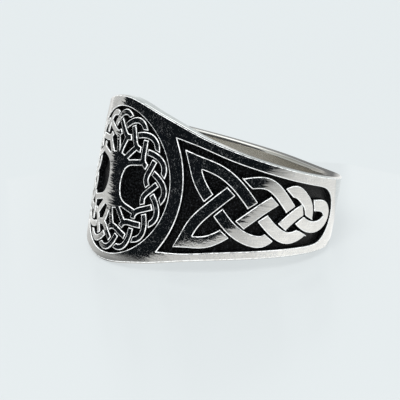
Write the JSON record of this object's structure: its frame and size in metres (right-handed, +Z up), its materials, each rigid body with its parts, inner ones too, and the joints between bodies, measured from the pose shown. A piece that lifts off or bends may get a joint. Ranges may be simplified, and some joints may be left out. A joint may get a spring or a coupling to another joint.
{
  "type": "celtic knot ring",
  "caption": "Wide cast finger ring, tapered to the back, with a sunk round tree medallion at the front and sunk interlaced knot panels on both shoulders.",
  "frame": {"origin": "middle of the ring's box, on the surface that it lies on", "axes": "+Z up, the wide front with the medallion faces -Y, the narrow back lies towards +Y; the ring lies on its side, so the finger axis leans back 12.9 degrees from +Z"},
  "size_m": [0.022, 0.0234, 0.0147],
  "materials": {
    "oxidised_silver": "polished silver with fine scratches round the finger, bright worn edges and matt black recesses"
  },
  "bodies": {
    "root": {"ring_band": "oxidised_silver"}
  },
  "joints": []
}
